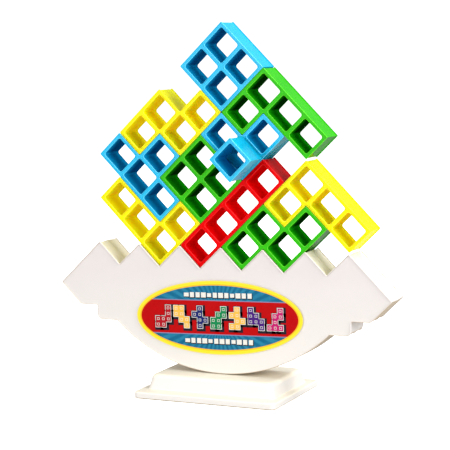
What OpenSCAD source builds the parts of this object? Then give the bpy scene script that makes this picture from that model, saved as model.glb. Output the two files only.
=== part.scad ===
// Rocking balance game: a boat-shaped rocker with a saw-toothed deck stands on a small foot,
// and hollow cell blocks are stacked at 45 degrees in its notches.
// X runs along the rocker, -Y faces the player, +Z is up, and the origin is the middle of the
// foot's underside. Millimetres.

/* [Blocks] */
// edge length of one cube cell, which is also the pitch of the stack
cell = 18; // [12:0.5:30]
// thickness of a block's outer wall
outer_wall = 2.1; // [1.2:0.1:4]
// thickness of the partition between two cells of a block
partition = 2.4; // [1.2:0.1:4]
// how far a block's outline stays inside its cells on each side
clearance = 0.12; // [0.05:0.01:0.4]
// radius of a block's upright outer edges
block_edge_r = 0.6; // [0.2:0.1:2]
// radius in the corners of a cell's window
window_r = 1.2; // [0.4:0.1:3]
// how far the blocks' front faces stand behind the rocker's front face
block_setback = 1; // [0:0.5:4]

/* [Rocker] */
// depth of the rocker from front to back
rocker_d = 22; // [18:1:40]
// wall thickness of the rocker's two shells
shell_wall = 2; // [1.2:0.1:3]
// height from the keel's lowest point to the tips of the teeth
rocker_h = 72.8; // [60:0.2:100]
// radius of the keel that rolls on the foot
keel_r = 94; // [80:1:120]
// drop from the tooth tips to the end ledges
ledge_drop = 37.9; // [30:0.1:45]
// distance from the centre to the upright step under each end ledge
step_x = 78.3; // [70:0.1:85]
// drop from the tooth tips to the ledge where the keel starts
keel_drop = 46.2; // [40:0.1:55]
// rounding of the tooth tips and the two bow tips
tooth_r = 1; // [0.4:0.1:2]
// rounding of the corners on the underside
hull_r = 3; // [1:0.5:5]
// radius of the four pins that locate the back shell on the front shell
pin_r = 2; // [1.5:0.1:4]

/* [Label] */
// length of the oval label
label_w = 102.4; // [60:0.2:120]
// height of the oval label
label_h = 42.6; // [30:0.2:50]
// drop from the tooth tips to the label's centre
label_drop = 40.5; // [35:0.1:45]
// thickness of the label
label_t = 0.25; // [0.1:0.05:0.5]
// how far the label's centre is stuck from the middle of the rocker
label_x = -1.1; // [-4:0.1:4]
// how many degrees the label is turned, its right end up
label_tilt = 1.9; // [-4:0.1:4]

/* [Foot] */
// length of the foot's base plate
plate_w = 86; // [60:1:120]
// depth of the foot's base plate
plate_d = 73; // [40:1:90]
// thickness of the base plate
plate_t = 4; // [2:0.1:6]
// length of the raised block that carries the rocker
pad_w = 77; // [50:1:100]
// depth of the raised block
pad_d = 53; // [30:1:80]
// height of the whole foot
foot_h = 12.6; // [8:0.1:20]
// how much the raised block tapers in on each side
pad_draft = 0.8; // [0:0.1:2]
// rounding of the raised block's upper edges
pad_edge_r = 3; // [1:0.5:4]
// wall thickness of the hollow foot
foot_wall = 2.2; // [1.2:0.1:4]
// corner radius of the foot
foot_r = 3; // [1:0.5:6]

/* [Hidden] */
half_step = cell / sqrt(2);
// gap left between the keel and the foot, so that the two never bind
roll_gap = 0.2;
tooth_z = foot_h + roll_gap + rocker_h;
notches = 6;
bow_x = (notches + 2) * half_step;
shell_gap = 0.05;
overlap = 1;
label_sides = 96;
round_fn = 32;
block_fn = 12;
keel_fn = 240;
white = [0.95, 0.94, 0.92];
blue = [0.20, 0.76, 0.95];
green = [0.26, 0.84, 0.13];
yellow = [0.99, 0.95, 0.05];
red = [0.87, 0.03, 0.05];

// Blocks as lists of cells [a, b]: a counts cells up to the right, b up to the left, from the
// deck's lattice corner two notches left of the middle.
l_low_cells = [[-1, 2], [-1, 1], [-1, 0], [0, 0]];
t_left_cells = [[0, 3], [0, 2], [0, 1], [1, 2]];
z_left_cells = [[1, 3], [2, 3], [2, 2], [3, 2]];
o_mid_cells = [[1, 1], [2, 1], [1, 0], [2, 0]];
i_mid_cells = [[0, -1], [1, -1], [2, -1], [3, -1]];
tripod_cells = [[3, 1], [3, 0], [4, 0]];
tripod_arm = [[3, 0]];
s_right_cells = [[1, -2], [2, -2], [2, -3], [3, -3]];
j_right_cells = [[3, -2], [4, -2], [4, -3], [4, -4]];
l_top_cells = [[4, 1], [5, 1], [5, 0], [5, -1]];
o_top_cells = [[4, 3], [5, 3], [4, 2], [5, 2]];

// Rounds the convex corners of a flat shape.
module rounded(r, fn = round_fn) {
  offset(r = r, $fn = fn)
    offset(delta = -r)
      children();
}

// Stands a flat shape up in the XZ plane between two depths.
module upright(front, back) {
  translate([0, back, 0])
    rotate([90, 0, 0])
      linear_extrude(back - front)
        children();
}

// ---- Blocks ----

module cell_squares(cells, inset = 0) {
  offset(delta = -inset)
    for (c = cells)
      translate(c * cell)
        square(cell);
}

// The lattice lines that part the cells of a block.
module partition_grid(cells) {
  for (c = cells, k = [0, 1]) {
    translate([(c[0] + k) * cell - partition / 2, c[1] * cell])
      square([partition, cell]);
    translate([c[0] * cell, (c[1] + k) * cell - partition / 2])
      square([cell, partition]);
  }
}

module block_profile(cells) {
  difference() {
    rounded(block_edge_r, block_fn)
      cell_squares(cells, clearance);
    rounded(window_r, block_fn)
      difference() {
        cell_squares(cells, outer_wall + clearance);
        partition_grid(cells);
      }
  }
}

module on_lattice() {
  translate([-2 * half_step, tooth_z])
    rotate(45)
      children();
}

block_front = block_setback - rocker_d / 2;

module block(cells) {
  upright(block_front, block_front + cell)
    on_lattice()
      block_profile(cells);
}

// The block with a fourth cell that stands out towards the player.
module tripod_block(cells, arm) {
  arm_front = block_front - cell + clearance;
  difference() {
    union() {
      block(cells);
      upright(arm_front, block_front + overlap)
        on_lattice()
          rounded(block_edge_r, block_fn)
            cell_squares(arm, clearance);
    }
    upright(arm_front - overlap, block_front + 2 * overlap)
      on_lattice()
        rounded(window_r, block_fn)
          cell_squares(arm, outer_wall + clearance);
  }
}

// ---- Rocker ----

// The saw-toothed deck and its sloping ends, in half steps from the middle tooth.
module deck_profile() {
  teeth = [for (k = [-notches : notches]) [k, -abs(k) % 2]];
  far = notches + 4;
  slopes = [[far, -4], [far, -8], [-far, -8], [-far, -4]];
  polygon(concat(teeth, slopes) * half_step);
}

// The underside: sloping bows, ledges, steps and the round keel.
module keel_profile() {
  bow_out = 2 * half_step;
  ledge_x = bow_x + 2 * half_step - ledge_drop;
  polygon([
    [-bow_x - bow_out, 0], [-ledge_x, -ledge_drop], [-step_x, -ledge_drop],
    [-step_x, -keel_drop], [step_x, -keel_drop], [step_x, -ledge_drop],
    [ledge_x, -ledge_drop], [bow_x + bow_out, 0], [0, cell]
  ]);
  intersection() {
    translate([0, keel_r - rocker_h])
      circle(keel_r, $fn = keel_fn);
    translate([-step_x, -rocker_h])
      square([2 * step_x, rocker_h - keel_drop + overlap]);
  }
}

module rocker_profile() {
  translate([0, tooth_z])
    rounded(tooth_r)
      intersection() {
        deck_profile();
        rounded(hull_r)
          keel_profile();
      }
}

// The places of the locating pins, seen from the front.
pin_places = [
  [-84, -30], [-52, -28], [52, -28], [84, -30]
];

module at_pins() {
  for (place = pin_places)
    translate([place[0], tooth_z + place[1]])
      children();
}

module shell(front, back, hollow_front, hollow_back) {
  difference() {
    upright(front, back)
      rocker_profile();
    upright(hollow_front, hollow_back)
      offset(delta = -shell_wall)
        rocker_profile();
  }
}

module rocker_front() {
  face = -rocker_d / 2;
  color(white) {
    shell(face, -shell_gap, face + shell_wall, overlap);
    upright(face + shell_wall / 2, rocker_d / 4)
      at_pins()
        circle(pin_r, $fn = round_fn);
  }
}

module rocker_back() {
  face = rocker_d / 2;
  color(white) {
    shell(shell_gap, face, -overlap, face - shell_wall);
    upright(shell_gap, face - shell_wall / 2)
      at_pins()
        difference() {
          circle(pin_r + shell_wall, $fn = round_fn);
          circle(pin_r + shell_gap, $fn = round_fn);
        }
  }
}

module label_front() {
  oval = [for (k = [1 : label_sides])
    [label_w / 2 * cos(360 * k / label_sides), label_h / 2 * sin(360 * k / label_sides)]];
  color(blue)
    upright(-rocker_d / 2 - label_t, -rocker_d / 2)
      translate([label_x, tooth_z - label_drop])
        rotate(label_tilt)
          polygon(oval);
}

// ---- Foot ----

module rounded_plate(w, d, h, r = foot_r) {
  linear_extrude(h)
    rounded(r)
      square([w, d], center = true);
}

// A hollow moulding: a base plate with a raised block that the keel rolls on.
module foot() {
  layer = 0.02;
  pad_top_w = pad_w - 2 * pad_draft;
  pad_top_d = pad_d - 2 * pad_draft;
  color(white)
    difference() {
      union() {
        rounded_plate(plate_w, plate_d, plate_t);
        hull() {
          rounded_plate(pad_w, pad_d, plate_t);
          for (turn = [0 : 22.5 : 90]) {
            inset = pad_edge_r * (1 - cos(turn));
            drop = pad_edge_r * (1 - sin(turn));
            translate([0, 0, foot_h - drop - layer])
              rounded_plate(pad_top_w - 2 * inset, pad_top_d - 2 * inset, layer);
          }
        }
      }
      translate([0, 0, -overlap])
        rounded_plate(
          pad_top_w - 2 * foot_wall, pad_top_d - 2 * foot_wall,
          foot_h - foot_wall + overlap
        );
    }
}

// ---- The ten blocks ----

module block_yellow_l() {
  color(yellow)
    block(l_low_cells);
}

module block_blue_t() {
  color(blue)
    block(t_left_cells);
}

module block_yellow_z() {
  color(yellow)
    block(z_left_cells);
}

module block_green_o() {
  color(green)
    block(o_mid_cells);
}

module block_red_i() {
  color(red)
    block(i_mid_cells);
}

module block_blue_tripod() {
  color(blue)
    tripod_block(tripod_cells, tripod_arm);
}

module block_green_s() {
  color(green)
    block(s_right_cells);
}

module block_yellow_j() {
  color(yellow)
    block(j_right_cells);
}

module block_green_l() {
  color(green)
    block(l_top_cells);
}

module block_blue_o() {
  color(blue)
    block(o_top_cells);
}

foot();
rocker_front();
rocker_back();
label_front();
block_yellow_l();
block_blue_t();
block_yellow_z();
block_green_o();
block_red_i();
block_blue_tripod();
block_green_s();
block_yellow_j();
block_green_l();
block_blue_o();
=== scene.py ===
"""Rocking balance game: white rocker on a foot, with hollow cell blocks stacked in its notches."""
import math

import bmesh
import bpy
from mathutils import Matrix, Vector
from mathutils.geometry import tessellate_polygon


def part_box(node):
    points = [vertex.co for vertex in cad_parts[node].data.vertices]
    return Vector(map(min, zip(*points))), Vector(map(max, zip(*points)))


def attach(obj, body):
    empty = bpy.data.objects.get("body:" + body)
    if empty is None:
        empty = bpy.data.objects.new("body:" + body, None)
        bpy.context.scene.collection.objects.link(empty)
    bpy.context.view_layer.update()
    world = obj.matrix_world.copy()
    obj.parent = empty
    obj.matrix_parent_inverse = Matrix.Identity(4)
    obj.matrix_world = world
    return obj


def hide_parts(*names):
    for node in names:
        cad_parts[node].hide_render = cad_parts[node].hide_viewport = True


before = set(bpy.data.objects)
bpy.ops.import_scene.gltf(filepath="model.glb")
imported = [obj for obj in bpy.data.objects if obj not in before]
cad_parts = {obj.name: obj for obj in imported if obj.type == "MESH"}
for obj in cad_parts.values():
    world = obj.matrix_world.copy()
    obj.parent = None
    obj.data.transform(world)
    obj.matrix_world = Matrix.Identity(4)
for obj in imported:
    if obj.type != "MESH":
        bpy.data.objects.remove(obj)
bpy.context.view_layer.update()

# ---------------------------------------------------------------- sizes, in metres, as in the CAD
MM = 0.001
CELL = 18 * MM
HALF_STEP = CELL / math.sqrt(2)
OUTER_WALL = 2.1 * MM
PARTITION = 2.4 * MM
CLEARANCE = 0.12 * MM
BLOCK_EDGE_R = 0.6 * MM
WINDOW_R = 1.2 * MM
# Rounding of a block's front and back edges, and how deep behind its front its cell walls are paler, which
# is painted light.
BLOCK_RIM = 0.38 * MM
BLOCK_FRONT = -10 * MM
PAINTED_LIGHT_DEPTH = 9 * MM
ARM_OVERLAP = 1 * MM

TOOTH_Z = 85.6 * MM
KEEL_R = 94 * MM
ROCKER_H = 72.8 * MM
LEDGE_DROP = 37.9 * MM
STEP_X = 78.3 * MM
KEEL_DROP = 46.2 * MM
TOOTH_R = 1 * MM
HULL_R = 3 * MM
STEP_R = 0.8 * MM
VALLEY_R = 0.3 * MM
NOTCHES = 6
KEEL_STEPS = 90
SEAM = 0.02 * MM
SHELL_RIM = 0.5 * MM
SEAM_RIM = 0.05 * MM

BLOCKS = {
    "block_yellow_l": ("yellow", [(-1, 2), (-1, 1), (-1, 0), (0, 0)]),
    "block_blue_t": ("blue", [(0, 3), (0, 2), (0, 1), (1, 2)]),
    "block_yellow_z": ("yellow", [(1, 3), (2, 3), (2, 2), (3, 2)]),
    "block_green_o": ("green", [(1, 1), (2, 1), (1, 0), (2, 0)]),
    "block_red_i": ("red", [(0, -1), (1, -1), (2, -1), (3, -1)]),
    "block_blue_tripod": ("blue", [(3, 1), (3, 0), (4, 0)]),
    "block_green_s": ("green", [(1, -2), (2, -2), (2, -3), (3, -3)]),
    "block_yellow_j": ("yellow", [(3, -2), (4, -2), (4, -3), (4, -4)]),
    "block_green_l": ("green", [(4, 1), (5, 1), (5, 0), (5, -1)]),
    "block_blue_o": ("blue", [(4, 3), (5, 3), (4, 2), (5, 2)]),
}
TRIPOD_ARM = (3, 0)


# ---------------------------------------------------------------- flat outlines
def rounded_loop(corners, radius, segments=6):
    """The corners of a polygon, each replaced by an arc. radius is one number or one per corner."""
    radii = radius if isinstance(radius, (list, tuple)) else [radius] * len(corners)
    points = []
    for k, corner in enumerate(corners):
        here = Vector(corner)
        to_last = (Vector(corners[k - 1]) - here).normalized()
        to_next = (Vector(corners[(k + 1) % len(corners)]) - here).normalized()
        half = to_last.angle(to_next) / 2
        r = radii[k]
        if r <= 0 or abs(half - math.pi / 2) < 1e-4:
            points.append(here)
            continue
        centre = here + (to_last + to_next).normalized() * (r / math.sin(half))
        first = here + to_last * (r / math.tan(half)) - centre
        last = here + to_next * (r / math.tan(half)) - centre
        sweep = first.angle_signed(last)
        for s in range(segments + 1):
            turn = -sweep * s / segments
            cos, sin = math.cos(turn), math.sin(turn)
            points.append(centre + Vector((first.x * cos - first.y * sin, first.x * sin + first.y * cos)))
    return points


def inset(loop, distance):
    """Moves a counter-clockwise loop inwards by a distance, with mitred corners."""
    moved = []
    for k, here in enumerate(loop):
        before = (here - loop[k - 1]).normalized()
        after = (loop[(k + 1) % len(loop)] - here).normalized()
        left_before = Vector((-before.y, before.x))
        left_after = Vector((-after.y, after.x))
        miter = left_before + left_after
        miter /= max(miter.length_squared / 2, 1e-6)
        moved.append(here + miter * distance)
    return moved


# Material slots of a moulding: its outside, the walls of its cells with painted light and shade, and its
# rounded rims with a painted highlight.
LIT_AND_SHADED_WALL_SLOT, HIGHLIGHT_EDGE_SLOT = 1, 2


def extrude_profile(name, outer, holes, front, back, front_rim, back_rim, steps=4):
    """A solid between two depths from flat counter-clockwise loops in XZ, with rounded rims."""
    bm = bmesh.new()
    stations = []
    for s in range(steps + 1):
        turn = math.pi / 2 * s / steps
        stations.append((front + front_rim * (1 - math.sin(turn)), front_rim * (1 - math.cos(turn))))
    for s in range(steps + 1):
        turn = math.pi / 2 * (1 - s / steps)
        stations.append((back - back_rim * (1 - math.sin(turn)), back_rim * (1 - math.cos(turn))))
    caps = {0: [], len(stations) - 1: []}
    for loop, side in [(outer, 1)] + [(hole, -1) for hole in holes]:
        rings = []
        for k, (depth, shrink) in enumerate(stations):
            flat = inset(loop, side * shrink) if shrink else loop
            ring = [bm.verts.new((p.x, depth, p.y)) for p in flat]
            rings.append(ring)
            if k in caps:
                caps[k].append(ring)
        for low, high in zip(rings, rings[1:]):
            count = len(low)
            for k in range(count):
                quad = [low[k], low[(k + 1) % count], high[(k + 1) % count], high[k]]
                face = bm.faces.new(quad if side > 0 else quad[::-1])
                # Rounded rim faces take the slot of the painted highlight, and the straight cell walls take
                # the slot of the painted light and shade.
                if low is not rings[steps]:
                    face.material_index = HIGHLIGHT_EDGE_SLOT
                elif side < 0:
                    face.material_index = LIT_AND_SHADED_WALL_SLOT
    for k, rings in caps.items():
        verts = [v for ring in rings for v in ring]
        for tri in tessellate_polygon([[Vector((v.co.x, v.co.z, 0)) for v in ring] for ring in rings]):
            bm.faces.new([verts[t] for t in tri])
    bmesh.ops.recalc_face_normals(bm, faces=bm.faces)
    return finish_mesh(name, bm)


def finish_mesh(name, bm):
    """Turns a bmesh into an object of the scene."""
    mesh = bpy.data.meshes.new(name)
    bm.to_mesh(mesh)
    bm.free()
    obj = bpy.data.objects.new(name, mesh)
    bpy.context.scene.collection.objects.link(obj)
    return obj


def smooth(obj, degrees=50):
    """Smooth shading that keeps flat faces flat."""
    for polygon in obj.data.polygons:
        polygon.use_smooth = True
    obj.data.set_sharp_from_angle(angle=math.radians(degrees))
    weighted = obj.modifiers.new("flat faces stay flat", "WEIGHTED_NORMAL")
    weighted.keep_sharp = True
    weighted.weight = 80


# ---------------------------------------------------------------- node materials
def new_material(name):
    """A node material, with its tree, its shader and the object's own coordinates."""
    material = bpy.data.materials.new(name)
    material.use_nodes = True
    tree = material.node_tree
    shader = tree.nodes["Principled BSDF"]
    place = tree.nodes.new("ShaderNodeTexCoord")
    return material, tree, shader, place.outputs["Object"]


def noise(tree, vector, scale, detail=3.0, stretch=None):
    """Soft noise between 0 and 1, drawn out along an axis where stretch is below 1."""
    if stretch:
        mapping = tree.nodes.new("ShaderNodeMapping")
        mapping.inputs["Scale"].default_value = stretch
        tree.links.new(vector, mapping.inputs["Vector"])
        vector = mapping.outputs["Vector"]
    texture = tree.nodes.new("ShaderNodeTexNoise")
    texture.inputs["Scale"].default_value = scale
    texture.inputs["Detail"].default_value = detail
    tree.links.new(vector, texture.inputs["Vector"])
    return texture.outputs["Fac"]


def ramp(tree, value, low, high, from_min=0.3, from_max=0.7):
    """Maps a value onto a range of numbers."""
    node = tree.nodes.new("ShaderNodeMapRange")
    node.inputs["From Min"].default_value = from_min
    node.inputs["From Max"].default_value = from_max
    node.inputs["To Min"].default_value = low
    node.inputs["To Max"].default_value = high
    tree.links.new(value, node.inputs["Value"])
    return node.outputs["Result"]


def mix_colour(tree, factor, a, b):
    """From colour a to colour b, each a tuple or a socket, by a factor socket."""
    node = tree.nodes.new("ShaderNodeMix")
    node.data_type = "RGBA"
    for socket, value in (("A", a), ("B", b)):
        target = [i for i in node.inputs if i.name == socket and i.type == "RGBA"][0]
        if isinstance(value, tuple):
            target.default_value = (*value, 1)
        else:
            tree.links.new(value, target)
    target = [i for i in node.inputs if i.name == "Factor" and i.type == "VALUE"][0]
    tree.links.new(factor, target)
    return [o for o in node.outputs if o.type == "RGBA"][0]


def maths(tree, operation, *values):
    """One step of arithmetic on numbers or sockets."""
    node = tree.nodes.new("ShaderNodeMath")
    node.operation = operation
    for k, value in enumerate(values):
        if isinstance(value, (int, float)):
            node.inputs[k].default_value = value
        else:
            tree.links.new(value, node.inputs[k])
    return node.outputs[0]


def add_bump(tree, shader, heights):
    """Chains bumps: a list of (height socket, strength, distance in metres)."""
    last = None
    for height, strength, distance in heights:
        bump = tree.nodes.new("ShaderNodeBump")
        bump.inputs["Strength"].default_value = strength
        bump.inputs["Distance"].default_value = distance
        tree.links.new(height, bump.inputs["Height"])
        if last:
            tree.links.new(last, bump.inputs["Normal"])
        last = bump.outputs["Normal"]
    tree.links.new(last, shader.inputs["Normal"])


def part_of(tree, vector, axis):
    """One coordinate of a vector socket."""
    split = tree.nodes.new("ShaderNodeSeparateXYZ")
    tree.links.new(vector, split.inputs[0])
    return split.outputs[axis]


def facing(tree):
    """The object's own upward facing, from 0 (down) through 0.5 (upright walls and fronts) to 1 (up)."""
    normal = tree.nodes.new("ShaderNodeNewGeometry").outputs["Normal"]
    return ramp(tree, part_of(tree, normal, "Z"), 0.0, 1.0, -1.0, 1.0)


def moulded_plastic(
    name, colour, deep, rough=(0.24, 0.34), specular=0.25, sss=(0.15, 1.2), radius=(1, 1, 1),
    painted_shade_below=None, painted_light_above=None, painted_light_low=None, painted_light_near_front=None, relief=1.0,
):
    """Moulded plastic: faint flow mottling, orange peel, handling scuffs and light under the skin.

    painted_shade_below is the colour of the faces that look down, painted shade, and painted_light_above
    that of the faces that look up, painted light;
    painted_light_low that of the low parts, painted light from the floor's bounce, and
    painted_light_near_front that of the first few millimetres behind the blocks' front, painted light fading
    into the cells.
    sss is how much light goes under the skin and how far, in millimetres.
    """
    material, tree, shader, place = new_material(name)
    flow = noise(tree, place, 45, 4.0, (1, 0.5, 1.6))
    base = mix_colour(tree, ramp(tree, flow, 0.0, 1.0), colour, deep)
    # Painted light: lighter lower down, standing in for the floor's bounce.
    if painted_light_low:
        height = part_of(tree, place, "Z")
        base = mix_colour(tree, ramp(tree, height, 0.0, 1.0, 15 * MM, 75 * MM), painted_light_low, base)
    # Painted shade on the faces that look down.
    if painted_shade_below:
        base = mix_colour(tree, ramp(tree, facing(tree), 0.0, 1.0, 0.15, 0.45), painted_shade_below, base)
    # Painted light on the faces that look up.
    if painted_light_above:
        base = mix_colour(tree, ramp(tree, facing(tree), 0.0, 1.0, 0.6, 0.85), base, painted_light_above)
    # Painted light: cell walls paler near the blocks' front, fading deeper into the cells.
    if painted_light_near_front:
        front_light_factor = ramp(tree, part_of(tree, place, "Y"), 0.8, 0.0, BLOCK_FRONT, BLOCK_FRONT + PAINTED_LIGHT_DEPTH)
        base = mix_colour(tree, front_light_factor, base, painted_light_near_front)
    tree.links.new(base, shader.inputs["Base Color"])
    scuffs = noise(tree, place, 900, 2.0, (0.12, 1, 1))
    cloud = noise(tree, place, 160, 3.0)
    worn = ramp(tree, scuffs, 0.0, 0.08, 0.62, 0.75)
    tree.links.new(maths(tree, "ADD", ramp(tree, cloud, *rough), worn), shader.inputs["Roughness"])
    shader.inputs["Specular IOR Level"].default_value = specular
    shader.inputs["Subsurface Weight"].default_value = sss[0]
    shader.inputs["Subsurface Radius"].default_value = radius
    shader.inputs["Subsurface Scale"].default_value = sss[1] * MM
    peel = noise(tree, place, 1400, 2.0)
    sink = noise(tree, place, 60, 2.0)
    add_bump(tree, shader, [
        (sink, 0.3 * relief, 0.05 * MM),
        (peel, 0.2 * relief, 0.0015 * MM),
        (scuffs, 0.15 * relief, 0.001 * MM),
    ])
    return material


MATERIALS = {
    # White: painted shade on the faces that look down, and painted light on the faces that look up and on
    # the low parts.
    "white": moulded_plastic(
        "white_plastic", (0.665, 0.62, 0.605), (0.645, 0.60, 0.585), (0.34, 0.46), radius=(1, 0.9, 0.8),
        painted_shade_below=(0.52, 0.41, 0.27), painted_light_above=(0.94, 0.88, 0.74), painted_light_low=(0.74, 0.71, 0.67),
    ),
    "blue": moulded_plastic(
        "blue_plastic", (0.006, 0.48, 0.74), (0.004, 0.44, 0.70), specular=0.15, radius=(0.2, 0.6, 1)
    ),
    # Green: painted shade on the faces that look down.
    "green": moulded_plastic(
        "green_plastic", (0.034, 0.51, 0.001), (0.026, 0.46, 0.001), specular=0.07, radius=(0.3, 1, 0.1),
        painted_shade_below=(0.014, 0.22, 0.001),
    ),
    "yellow": moulded_plastic(
        "yellow_plastic", (0.98, 0.88, 0.001), (0.96, 0.83, 0.001), specular=0.06,
        sss=(0.7, 5.0), radius=(1, 0.8, 0.05)
    ),
    "red": moulded_plastic(
        "red_plastic", (0.76, 0.001, 0.002), (0.70, 0.001, 0.002), specular=0.02,
        sss=(0.3, 2.0), radius=(1, 0.05, 0.05)
    ),
}


def cell_wall_light_and_shade(name, colour, deep, painted_shade_below, front, sss=(0.0, 1.0), radius=(1, 1, 1)):
    """The walls of the cells, duller than the outside: deeper in tone, which is painted shade, darkest where
    they look down, and paler near the blocks' front, which is painted light.
    """
    return moulded_plastic(
        name, colour, deep, (0.6, 0.7), 0.0, sss, radius, painted_shade_below=painted_shade_below, painted_light_near_front=front, relief=0.3
    )


# Painted light and shade in the cells: a darker copy of each colour for blue, green and yellow, and a
# brighter one for red.
CELL_WALL_LIGHT_AND_SHADE = {
    "blue": cell_wall_light_and_shade(
        "blue_inside_painted_shade", (0.002, 0.31, 0.60), (0.002, 0.27, 0.55), (0.001, 0.11, 0.29), (0.004, 0.42, 0.76)
    ),
    "green": cell_wall_light_and_shade(
        "green_inside_painted_shade", (0.003, 0.34, 0.001), (0.003, 0.29, 0.001), (0.0005, 0.04, 0.0005),
        (0.014, 0.50, 0.002)
    ),
    "yellow": cell_wall_light_and_shade(
        "yellow_inside_painted_shade", (1.0, 0.76, 0.006), (1.0, 0.72, 0.006), (1.0, 0.62, 0.012), (1.0, 0.92, 0.003),
        (1.0, 9.0), (1, 0.55, 0.05)
    ),
    # Red: cell walls painted brighter than the red outside, painted light in place of the cells' shade.
    "red": cell_wall_light_and_shade(
        "red_inside_painted_light", (0.90, 0.001, 0.002), (0.84, 0.001, 0.002), (0.84, 0.001, 0.002), (0.86, 0.001, 0.002),
        (0.8, 6.0), (1, 0.05, 0.05)
    ),
}
# Painted highlight: the rounded rims are a lighter copy of each colour, standing in for the light they
# catch.
EDGE_HIGHLIGHTS = {
    "blue": moulded_plastic("blue_edge_painted_highlight", (0.08, 0.62, 0.92), (0.05, 0.56, 0.88), (0.2, 0.3), 0.4),
    "green": moulded_plastic("green_edge_painted_highlight", (0.10, 0.66, 0.01), (0.06, 0.60, 0.01), (0.2, 0.3), 0.25),
    "yellow": moulded_plastic("yellow_edge_painted_highlight", (1.0, 0.92, 0.03), (1.0, 0.88, 0.02), (0.25, 0.35), 0.2),
    "red": moulded_plastic("red_edge_painted_highlight", (0.82, 0.012, 0.014), (0.76, 0.006, 0.008), (0.25, 0.35), 0.15),
}


# ---------------------------------------------------------------- blocks
def block_outline(cells):
    """Traces the outline of a set of unit cells, counter-clockwise, as lattice corners."""
    edges = {}
    for a, b in cells:
        sides = [
            ((a, b), (a + 1, b), (a, b - 1)),
            ((a + 1, b), (a + 1, b + 1), (a + 1, b)),
            ((a + 1, b + 1), (a, b + 1), (a, b + 1)),
            ((a, b + 1), (a, b), (a - 1, b)),
        ]
        for start, end, neighbour in sides:
            if neighbour not in cells:
                edges[start] = end
    first = min(edges)
    path = [first]
    while edges[path[-1]] != first:
        path.append(edges[path[-1]])
    corners = []
    for k, here in enumerate(path):
        last, following = path[k - 1], path[(k + 1) % len(path)]
        if (here[0] - last[0]) * (following[1] - here[1]) != (here[1] - last[1]) * (following[0] - here[0]):
            corners.append(Vector(here) * CELL)
    return corners


def on_lattice(loop):
    """Turns a loop by 45 degrees onto the rocker's deck."""
    turned = []
    for p in loop:
        across = (p.x - p.y) / math.sqrt(2) - 2 * HALF_STEP
        up = (p.x + p.y) / math.sqrt(2) + TOOTH_Z
        turned.append(Vector((across, up)))
    return turned


def window(cell, cells):
    """The rounded window of one cell: thick walls outside, half a partition towards a neighbour."""
    a, b = cell

    def wall(da, db):
        """How far the window stays from the side of its cell that faces this neighbour."""
        return PARTITION / 2 if (a + da, b + db) in cells else OUTER_WALL + CLEARANCE

    left, right = a * CELL + wall(-1, 0), (a + 1) * CELL - wall(1, 0)
    low, high = b * CELL + wall(0, -1), (b + 1) * CELL - wall(0, 1)
    return rounded_loop([(left, low), (right, low), (right, high), (left, high)], WINDOW_R)


def outer_loop(cells):
    """A block's outline, with its clearance and its rounded upright edges."""
    return rounded_loop(inset(block_outline(cells), CLEARANCE), BLOCK_EDGE_R)


def solid_block(name, colour, cells, windows, front, back):
    """A run of cells with windows through it, and the three materials of its colour: outside, cell walls
    with painted light and shade, and rims with a painted highlight.
    """
    holes = [on_lattice(w) for w in windows]
    block = extrude_profile(name, on_lattice(outer_loop(cells)), holes, front, back, BLOCK_RIM, BLOCK_RIM)
    block.data.materials.append(MATERIALS[colour])
    block.data.materials.append(CELL_WALL_LIGHT_AND_SHADE[colour])
    block.data.materials.append(EDGE_HIGHLIGHTS[colour])
    return block


def weld(obj, other):
    """Joins another closed solid into obj and removes it."""
    union = obj.modifiers.new("weld", "BOOLEAN")
    union.operation = "UNION"
    union.solver = "EXACT"
    union.object = other
    graph = bpy.context.evaluated_depsgraph_get()
    mesh = bpy.data.meshes.new_from_object(obj.evaluated_get(graph))
    obj.modifiers.clear()
    obj.data = mesh
    bpy.data.objects.remove(other)


def make_block(node, colour, cells):
    """One block, moulded in one piece with the arm where it has one."""
    low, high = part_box(node)
    back = high.y
    front = back - CELL
    block = solid_block(node + "_moulding", colour, cells, [window(c, cells) for c in cells], front, back)
    if node == "block_blue_tripod":
        arm_window = window(TRIPOD_ARM, [TRIPOD_ARM])
        weld(block, solid_block("arm", colour, [TRIPOD_ARM], [arm_window], low.y, front + ARM_OVERLAP))
    smooth(block)
    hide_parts(node)
    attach(block, node)


for node, (colour, cells) in BLOCKS.items():
    make_block(node, colour, cells)


# ---------------------------------------------------------------- rocker
def rocker_loop():
    """The rocker's outline, counter-clockwise from the left bow tip, in XZ."""
    bow_x = (NOTCHES + 2) * HALF_STEP
    ledge_x = bow_x + 2 * HALF_STEP - LEDGE_DROP
    keel_z = KEEL_R - ROCKER_H
    keel_x = math.sqrt(KEEL_R ** 2 - (keel_z + KEEL_DROP) ** 2)
    end = math.asin(keel_x / KEEL_R)
    left_end = [
        (-bow_x, -2 * HALF_STEP, TOOTH_R),
        (-ledge_x, -LEDGE_DROP, HULL_R),
        (-STEP_X, -LEDGE_DROP, STEP_R),
        (-STEP_X, -KEEL_DROP, HULL_R),
    ]
    turns = [-end + 2 * end * k / KEEL_STEPS for k in range(KEEL_STEPS + 1)]
    keel = [(KEEL_R * math.sin(t), keel_z - KEEL_R * math.cos(t), 0) for t in turns]
    right_end = [(-x, z, r) for x, z, r in reversed(left_end)]
    corners = left_end + keel + right_end
    for k in range(NOTCHES, -NOTCHES - 1, -1):
        corners.append((k * HALF_STEP, -(k % 2) * HALF_STEP, VALLEY_R if k % 2 else TOOTH_R))
    flat = rounded_loop([c[:2] for c in corners], [c[2] for c in corners])
    return [p + Vector((0, TOOTH_Z)) for p in flat]


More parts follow.
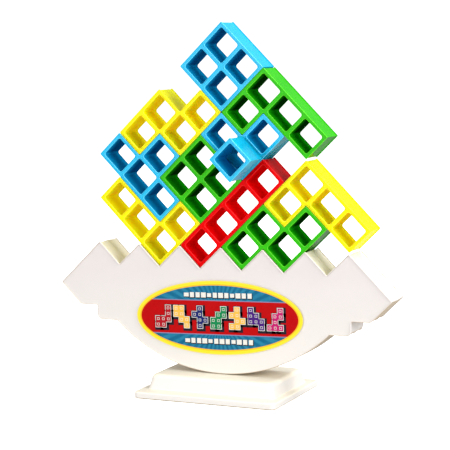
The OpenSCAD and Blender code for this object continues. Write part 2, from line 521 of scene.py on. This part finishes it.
def make_shell(node, front, back, front_rim, back_rim):
    """One half of the rocker, rounded where it faces outwards and nearly sharp at the seam."""
    shell = extrude_profile(node + "_shell", rocker_loop(), [], front, back, front_rim, back_rim)
    smooth(shell)
    for _ in range(HIGHLIGHT_EDGE_SLOT + 1):
        shell.data.materials.append(MATERIALS["white"])
    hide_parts(node)
    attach(shell, "rocker")


make_shell("rocker_front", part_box("rocker_front")[0].y, -SEAM / 2, SHELL_RIM, SEAM_RIM)
make_shell("rocker_back", SEAM / 2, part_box("rocker_back")[1].y, SEAM_RIM, SHELL_RIM)


# ---------------------------------------------------------------- foot
PLATE_T = 4 * MM
PAD_W = 77 * MM
PAD_D = 53 * MM
PAD_DRAFT = 0.8 * MM
FOOT_WALL = 2.2 * MM
FOOT_R = 3 * MM
FOOT_FILLET = 0.8 * MM


def rounded_rectangle(w, d, r, segments=8):
    """A counter-clockwise rectangle about the origin, with round corners."""
    return rounded_loop([(-w / 2, -d / 2), (w / 2, -d / 2), (w / 2, d / 2), (-w / 2, d / 2)], r, segments)


def make_foot():
    """A hollow moulding: rings of rounded rectangles, from the cavity's roof to the raised block's top."""
    low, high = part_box("foot")
    plate_w, plate_d, top = high.x - low.x, high.y - low.y, high.z
    top_w, top_d = PAD_W - 2 * PAD_DRAFT, PAD_D - 2 * PAD_DRAFT
    room_w, room_d, roof = top_w - 2 * FOOT_WALL, top_d - 2 * FOOT_WALL, top - FOOT_WALL

    def edge(w, d, r, z, size, turns, up):
        """Rings round an edge of a w by d outline at height z: up is 1 at a top edge, -1 at a bottom one."""
        shrink = [size * (1 - math.cos(t)) for t in turns]
        height = [z - up * size * (1 - math.sin(t)) for t in turns]
        return [(w - 2 * i, d - 2 * i, r, h) for i, h in zip(shrink, height)]

    def quarter(first, last, steps):
        """Even turns of an arc, given in degrees."""
        return [math.radians(first + (last - first) * s / steps) for s in range(steps + 1)]

    def skirt(t):
        """The small fillet where the raised block meets the plate."""
        grow = 2 * FOOT_FILLET * (1 - math.sin(t))
        return PAD_W + grow, PAD_D + grow, FOOT_R, PLATE_T + FOOT_FILLET * (1 - math.cos(t))

    # Each ring is a rounded rectangle: its width, its depth, the radius of its corners and its height.
    rings = [
        (room_w - 3 * MM, room_d - 3 * MM, 1.5 * MM, roof),
        (room_w - 1 * MM, room_d - 1 * MM, 2 * MM, roof),
        (room_w, room_d, 2.4 * MM, roof - 0.6 * MM),
        (room_w, room_d, 2.4 * MM, 0.3 * MM),
        (room_w + 0.6 * MM, room_d + 0.6 * MM, 2.6 * MM, 0),
    ]
    rings += edge(plate_w, plate_d, FOOT_R, 0, 0.9 * MM, quarter(90, 0, 4), -1)
    rings += edge(plate_w, plate_d, FOOT_R, PLATE_T, 1.0 * MM, quarter(0, 90, 4), 1)
    rings += [skirt(t) for t in quarter(0, 70, 3)]
    rings += edge(top_w, top_d, 4 * MM, top, 3 * MM, quarter(0, 90, 8), 1)
    bm = bmesh.new()
    made = [[bm.verts.new((p.x, p.y, z)) for p in rounded_rectangle(w, d, r)] for w, d, r, z in rings]
    for inner, outer in zip(made, made[1:]):
        count = len(inner)
        for k in range(count):
            bm.faces.new([inner[k], inner[(k + 1) % count], outer[(k + 1) % count], outer[k]])
    bm.faces.new(made[0])
    bm.faces.new(made[-1])
    bmesh.ops.recalc_face_normals(bm, faces=bm.faces)
    foot = finish_mesh("foot_moulding", bm)
    smooth(foot)
    foot.data.materials.append(MATERIALS["white"])
    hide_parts("foot")
    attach(foot, "foot")


make_foot()

# ---------------------------------------------------------------- label
LABEL_W = 102.4 * MM
LABEL_H = 42.6 * MM
LABEL_X = -1.1 * MM
LABEL_Z = TOOTH_Z - 40.5 * MM
LABEL_TILT = math.radians(1.9)
LABEL_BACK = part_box("label_front")[1].y
SHEET_T = 0.15 * MM
# Width of the yellow rim, how much of it is a pale outer line, and of an orange inner one.
RING = 2.8 * MM
PALE_LINE = 0.5 * MM
ORANGE_LINE = 0.7 * MM
# Half the height of the red band, half the width of the rule at its edge, and the rays of the blue fields.
BAND = 9.8 * MM
RULE = 0.25 * MM
RAYS = 14.0
# How far the printed layers stand off the label's back, from the ground up.
INK_FOOT = 0.14 * MM
SHADOW = 0.16 * MM
OUTLINE = 0.18 * MM
TILE_INK = 0.20 * MM
STUD_LINE = 0.22 * MM
STUD_INK = 0.24 * MM


def on_label(x, z):
    """A place on the label, measured from its centre along its own axes, in the part's XZ plane."""
    cos, sin = math.cos(LABEL_TILT), math.sin(LABEL_TILT)
    return LABEL_X + x * cos - z * sin, LABEL_Z + x * sin + z * cos


def print_material():
    """The label's printed ground: yellow rim, thin orange line, red band between two rayed blue fields."""
    material, tree, shader, place = new_material("label_print")
    far_x = maths(tree, "SUBTRACT", part_of(tree, place, "X"), LABEL_X)
    far_z = maths(tree, "SUBTRACT", part_of(tree, place, "Z"), LABEL_Z)
    cos, sin = math.cos(LABEL_TILT), math.sin(LABEL_TILT)
    x = maths(tree, "ADD", maths(tree, "MULTIPLY", far_x, cos), maths(tree, "MULTIPLY", far_z, sin))
    z = maths(tree, "SUBTRACT", maths(tree, "MULTIPLY", far_z, cos), maths(tree, "MULTIPLY", far_x, sin))

    def within(margin):
        """1 inside the oval that runs this far in from the label's edge."""
        across = maths(tree, "DIVIDE", x, LABEL_W / 2 - margin)
        up = maths(tree, "DIVIDE", z, LABEL_H / 2 - margin)
        across_squared = maths(tree, "MULTIPLY", across, across)
        up_squared = maths(tree, "MULTIPLY", up, up)
        return maths(tree, "LESS_THAN", maths(tree, "ADD", across_squared, up_squared), 1.0)

    height = maths(tree, "ABSOLUTE", z)
    ray = maths(tree, "PINGPONG", maths(tree, "MULTIPLY", maths(tree, "ARCTAN2", z, x), RAYS), 1.0)
    specks = noise(tree, place, 420, 3.0)
    rays = mix_colour(tree, ramp(tree, ray, 0.0, 1.0, 0.3, 0.7), (0.006, 0.11, 0.21), (0.020, 0.19, 0.31))
    blue = mix_colour(tree, ramp(tree, specks, 0.0, 0.5, 0.45, 0.6), rays, (0.008, 0.14, 0.26))
    red = mix_colour(tree, ramp(tree, specks, 0.0, 0.4), (0.44, 0.001, 0.002), (0.37, 0.001, 0.002))
    inside = mix_colour(tree, maths(tree, "LESS_THAN", height, BAND), blue, red)
    off_rule = maths(tree, "ABSOLUTE", maths(tree, "SUBTRACT", height, BAND))
    rule = maths(tree, "LESS_THAN", off_rule, RULE)
    inside = mix_colour(tree, rule, inside, (0.20, 0.20, 0.34))
    rim = mix_colour(tree, within(RING - ORANGE_LINE), (0.88, 0.66, 0.03), (0.80, 0.42, 0.02))
    rim = mix_colour(tree, within(PALE_LINE), (0.84, 0.70, 0.10), rim)
    tree.links.new(mix_colour(tree, within(RING), rim, inside), shader.inputs["Base Color"])
    tree.links.new(ramp(tree, noise(tree, place, 200), 0.26, 0.36), shader.inputs["Roughness"])
    shader.inputs["Specular IOR Level"].default_value = 0.05
    add_bump(tree, shader, [(noise(tree, place, 110, 1.0), 0.2, 0.02 * MM)])
    return material


def ink(name, colour):
    """Printing ink under a gloss film: faint dot pattern in the colour."""
    material, tree, shader, place = new_material(name)
    dots = noise(tree, place, 2600, 1.0)
    darker = tuple(c * 0.8 for c in colour)
    tree.links.new(mix_colour(tree, ramp(tree, dots, 0.0, 1.0), colour, darker), shader.inputs["Base Color"])
    tree.links.new(ramp(tree, noise(tree, place, 240), 0.26, 0.36), shader.inputs["Roughness"])
    shader.inputs["Specular IOR Level"].default_value = 0.1
    return material


def make_label():
    """The oval sheet, a hair's breadth thick, on the rocker's front."""
    turns = [math.tau * k / 144 for k in range(144)]
    oval = [Vector(on_label(LABEL_W / 2 * math.cos(t), LABEL_H / 2 * math.sin(t))) for t in turns]
    sheet = extrude_profile("label_sheet", oval, [], LABEL_BACK - SHEET_T, LABEL_BACK, 0.05 * MM, 0, 2)
    smooth(sheet)
    printed = print_material()
    for _ in range(HIGHLIGHT_EDGE_SLOT + 1):
        sheet.data.materials.append(printed)
    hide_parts("label_front")
    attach(sheet, "rocker")


def print_tiles(name, layers, material):
    """Thin rectangles printed on the label: x, z, width and height on its own axes, and their rise."""
    bm = bmesh.new()
    for x, z, w, h, rise in layers:
        left, right, low, high = x - w / 2, x + w / 2, z - h / 2, z + h / 2
        corners = [(left, low), (right, low), (right, high), (left, high)]
        places = [on_label(*corner) for corner in corners]
        front = [bm.verts.new((px, LABEL_BACK - rise, pz)) for px, pz in places]
        back = [bm.verts.new((px, LABEL_BACK - INK_FOOT, pz)) for px, pz in places]
        bm.faces.new(front)
        bm.faces.new(back[::-1])
        for k in range(4):
            bm.faces.new([front[k], back[k], back[(k + 1) % 4], front[(k + 1) % 4]])
    bmesh.ops.recalc_face_normals(bm, faces=bm.faces)
    tiles = finish_mesh(name, bm)
    tiles.data.materials.append(material)
    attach(tiles, "rocker")


# Seven generic stacks of little squares, three wide and four high, where a toy would carry its name.
PICTURES = [
    ("maroon", (0.40, 0.004, 0.012), [(0, 0), (1, 0), (0, 1), (1, 1), (2, 1), (2, 2), (2, 3)]),
    ("amber", (0.85, 0.48, 0.07), [(0, 3), (0, 2), (1, 2), (1, 1), (2, 1), (2, 0), (1, 3)]),
    ("navy", (0.010, 0.018, 0.13), [(1, 0), (1, 1), (1, 2), (1, 3), (0, 2), (2, 1)]),
    ("fern", (0.005, 0.22, 0.07), [(0, 0), (0, 1), (1, 1), (1, 2), (2, 2), (2, 3), (1, 0)]),
    ("amber", (0.85, 0.48, 0.07), [(0, 0), (1, 0), (1, 1), (2, 1), (1, 2), (0, 2), (1, 3)]),
    ("violet", (0.06, 0.010, 0.18), [(2, 0), (2, 1), (1, 1), (1, 2), (0, 2), (0, 3), (0, 1)]),
    ("magenta", (0.50, 0.010, 0.14), [(0, 0), (1, 0), (2, 0), (1, 1), (1, 2), (2, 2), (2, 3)]),
]


def make_pictures():
    """The stacks of squares, each with a shadow, an outline and a stud, and two rows of plain tiles."""
    tile, pitch = 3.2 * MM, 11.5 * MM
    dark, pale = [], []
    inks = {}
    for k, (hue, colour, cells) in enumerate(PICTURES):
        middle = (k - (len(PICTURES) - 1) / 2) * pitch
        for a, b in cells:
            x, z = middle + (a - 1) * tile, (b - 1.5) * tile
            dark.append((x + 0.6 * MM, z - 0.6 * MM, tile + 2.4 * MM, tile + 2.4 * MM, SHADOW))
            pale.append((x, z, tile + 0.6 * MM, tile + 0.6 * MM, OUTLINE))
            pale.append((x, z, tile * 0.46, tile * 0.46, STUD_LINE))
            inks.setdefault(hue, (colour, []))[1].append((x, z, tile, tile, TILE_INK))
            inks[hue][1].append((x, z, tile * 0.32, tile * 0.32, STUD_INK))
    count, step = 12, 3.55 * MM
    for height in (12.9 * MM, -13.6 * MM):
        for k in range(count):
            w = (2.5 if k % 3 else 3.0) * MM
            h = (2.9 if k % 4 else 2.2) * MM
            x = (k - (count - 1) / 2) * step
            dark.append((x + 0.25 * MM, height - 0.3 * MM, w + 0.5 * MM, h + 0.5 * MM, SHADOW))
            pale.append((x, height, w, h, OUTLINE))
    print_tiles("label_shadows", dark, ink("ink_black", (0.010, 0.008, 0.016)))
    print_tiles("label_outlines", pale, ink("ink_pale", (0.78, 0.76, 0.70)))
    for hue, (colour, tiles) in inks.items():
        print_tiles("label_" + hue, tiles, ink("ink_" + hue, colour))


make_label()
make_pictures()


# ---------------------------------------------------------------- floor, light and camera
FLOOR_BOUNCE = 0.60
FLOOR_SEEN = 2.3
WORLD_LIGHT = 0.5
WORLD_SEEN = 1.2


def make_floor():
    """A pale floor, brighter to the camera than in what it bounces, so that undersides keep their shade."""
    bm = bmesh.new()
    bmesh.ops.create_grid(bm, x_segments=1, y_segments=1, size=8)
    floor = finish_mesh("floor", bm)
    material = bpy.data.materials.new("floor_white")
    material.use_nodes = True
    tree = material.node_tree
    tree.nodes.clear()
    shades = []
    for grey in (FLOOR_BOUNCE, FLOOR_SEEN):
        diffuse = tree.nodes.new("ShaderNodeBsdfDiffuse")
        diffuse.inputs["Color"].default_value = (grey, grey, grey, 1)
        shades.append(diffuse.outputs[0])
    mix = tree.nodes.new("ShaderNodeMixShader")
    tree.links.new(tree.nodes.new("ShaderNodeLightPath").outputs["Is Camera Ray"], mix.inputs[0])
    tree.links.new(shades[0], mix.inputs[1])
    tree.links.new(shades[1], mix.inputs[2])
    tree.links.new(mix.outputs[0], tree.nodes.new("ShaderNodeOutputMaterial").inputs["Surface"])
    floor.data.materials.append(material)


def soft_light(name, place, look_at, size, power):
    """A rectangular softbox, size in metres and power in watts."""
    light = bpy.data.lights.new(name, "AREA")
    light.shape = "RECTANGLE"
    light.size, light.size_y = size
    light.energy = power
    obj = bpy.data.objects.new(name, light)
    bpy.context.scene.collection.objects.link(obj)
    obj.location = place
    obj.rotation_euler = (Vector(look_at) - Vector(place)).to_track_quat("-Z", "Y").to_euler()


def make_lights():
    """An even white surround and three softboxes."""
    world = bpy.data.worlds.new("studio")
    bpy.context.scene.world = world
    world.use_nodes = True
    tree = world.node_tree
    background = tree.nodes["Background"]
    background.inputs["Color"].default_value = (1, 1, 1, 1)
    seen = tree.nodes.new("ShaderNodeLightPath").outputs["Is Camera Ray"]
    tree.links.new(ramp(tree, seen, WORLD_LIGHT, WORLD_SEEN, 0.0, 1.0), background.inputs["Strength"])
    soft_light("key", (0.75, 0.15, 1.1), (0, 0, 0.1), (0.8, 0.8), 11)
    soft_light("fill", (-0.4, -1.35, 0.30), (0, 0, 0.08), (0.9, 0.7), 13)
    soft_light("side", (1.2, -0.4, 0.5), (0, 0, 0.06), (0.7, 0.6), 11)


def make_camera():
    """The camera: to the right of the front and a little above, looking at the middle of the stack."""
    azimuth = math.radians(22.56)
    elevation = math.radians(6.39)
    distance = 0.9602
    focal_over_width = 1700 / 450
    look_at = Vector((0.0029, -0.011, 0.0984))
    level = math.cos(elevation)
    away = Vector((math.sin(azimuth) * level, -math.cos(azimuth) * level, math.sin(elevation)))
    camera = bpy.data.cameras.new("camera")
    camera.sensor_width = 36
    camera.lens = 36 * focal_over_width
    obj = bpy.data.objects.new("camera", camera)
    bpy.context.scene.collection.objects.link(obj)
    obj.location = look_at + away * distance
    obj.rotation_euler = (-away).to_track_quat("-Z", "Y").to_euler()
    bpy.context.scene.camera = obj


make_floor()
make_lights()
make_camera()
bpy.context.scene.view_settings.view_transform = "Standard"
